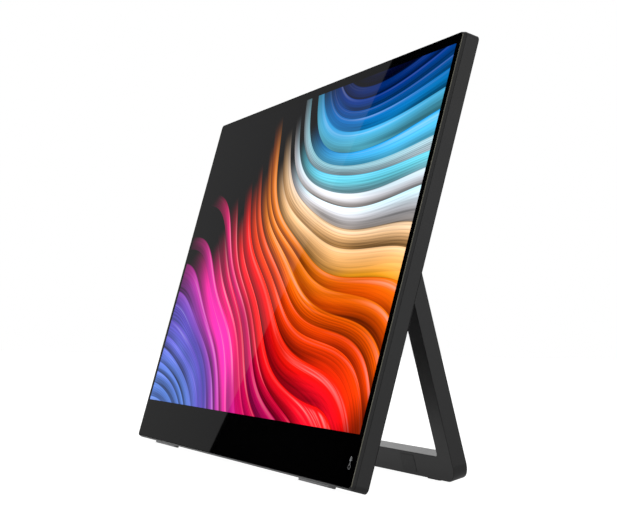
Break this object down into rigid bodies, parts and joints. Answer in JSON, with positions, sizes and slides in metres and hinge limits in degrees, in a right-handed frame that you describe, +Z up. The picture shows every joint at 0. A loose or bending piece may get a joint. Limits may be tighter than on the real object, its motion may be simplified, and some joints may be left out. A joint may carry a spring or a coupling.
{
  "type": "portable monitor",
  "caption": "Slim touch display in a bevelled shell, with an electronics cover behind it and a U-shaped rear stand that folds flat round the cover on friction hinges.",
  "frame": {"origin": "on the desk, at the middle of the footprint of the standing monitor, stand open at 30 degrees", "axes": "+Z up, +X to the right of someone looking at the screen, +Y to the back; the glass faces -Y and leans back"},
  "size_m": [0.3542, 0.0802, 0.2198],
  "materials": {
    "cover_glass": "polished",
    "black_print": "opaque black ink",
    "clear_film": "clear film",
    "lcd_panel": "lit picture",
    "clear_acrylic": "clear",
    "white_film": "white",
    "black_tape": "matt",
    "housing_plastic": "fine satin texture",
    "button_plastic": "satin",
    "stand_metal": "satin black paint",
    "rubber": "matt",
    "sheet_metal": "plain",
    "steel": "plain",
    "black_screw": "black oxide",
    "circuit_board": "green solder mask",
    "lamp_board": "white with yellow lamps",
    "flat_cable": "amber film",
    "foam": "open foam",
    "socket_metal": "bright",
    "black_moulding": "matt"
  },
  "bodies": {
    "display": {"backlight_tray": "sheet_metal", "board_screws": "black_screw", "board_shield": "sheet_metal", "border_print": "black_print", "bridge_cable": "flat_cable", "button_board": "circuit_board", "button_cable": "flat_cable", "cover_glass": "cover_glass", "cover_screws": "black_screw", "display_cable": "flat_cable", "driver_board": "circuit_board", "driver_films": "flat_cable", "electronics_cover": "housing_plastic", "foam_pads": "foam", "frame_screws": "black_screw", "front_foot_left": "rubber", "front_foot_right": "rubber", "front_frame": "housing_plastic", "glass_tape": "black_tape", "headphone_socket": "black_moulding", "hinge_bracket_left": "sheet_metal", "hinge_bracket_right": "sheet_metal", "hinge_screws": "black_screw", "key_switches": "black_moulding", "lamp_strip": "lamp_board", "lcd_cell": "lcd_panel", "light_guide": "clear_acrylic", "main_board": "circuit_board", "mini_hdmi_socket": "socket_metal", "optical_films": "clear_film", "power_light": "clear_acrylic", "rear_cover": "housing_plastic", "reflector_sheet": "white_film", "rocker_pin": "steel", "speaker_left": "black_moulding", "speaker_right": "black_moulding", "touch_board": "circuit_board", "touch_cable": "flat_cable", "touch_sensor": "clear_film", "usb_c_socket_lower": "socket_metal", "usb_c_socket_upper": "socket_metal"},
    "stand": {"stand_frame": "stand_metal", "stand_foot_left": "rubber", "stand_foot_right": "rubber", "stand_pad_left": "rubber", "stand_pad_right": "rubber", "hinge_pin_left": "steel", "hinge_pin_right": "steel", "friction_washers_left": "steel", "friction_washers_right": "steel", "hinge_nut_left": "steel", "hinge_nut_right": "steel"},
    "power_button": {"power_button": "button_plastic"},
    "menu_rocker": {"menu_rocker": "button_plastic"}
  },
  "joints": [
    {"name": "stand_hinge", "type": "hinge", "parent": "display", "child": "stand", "pos_m": [0, 0.00398, 0.11932], "axis": [1, 0, 0], "range_deg": [-30, 45]},
    {"name": "power_press", "type": "slide", "parent": "display", "child": "power_button", "axis": [-1, 0, 0], "range_m": [0, 0.0005], "stiffness_N_per_m": 2000, "springref_m": -0.0001},
    {"name": "rocker_tilt", "type": "hinge", "parent": "display", "child": "menu_rocker", "pos_m": [0.1248, -0.01174, 0.06296], "axis": [0, 0.9675, -0.253], "range_deg": [-4, 4], "stiffness_Nm_per_rad": 0.1}
  ]
}
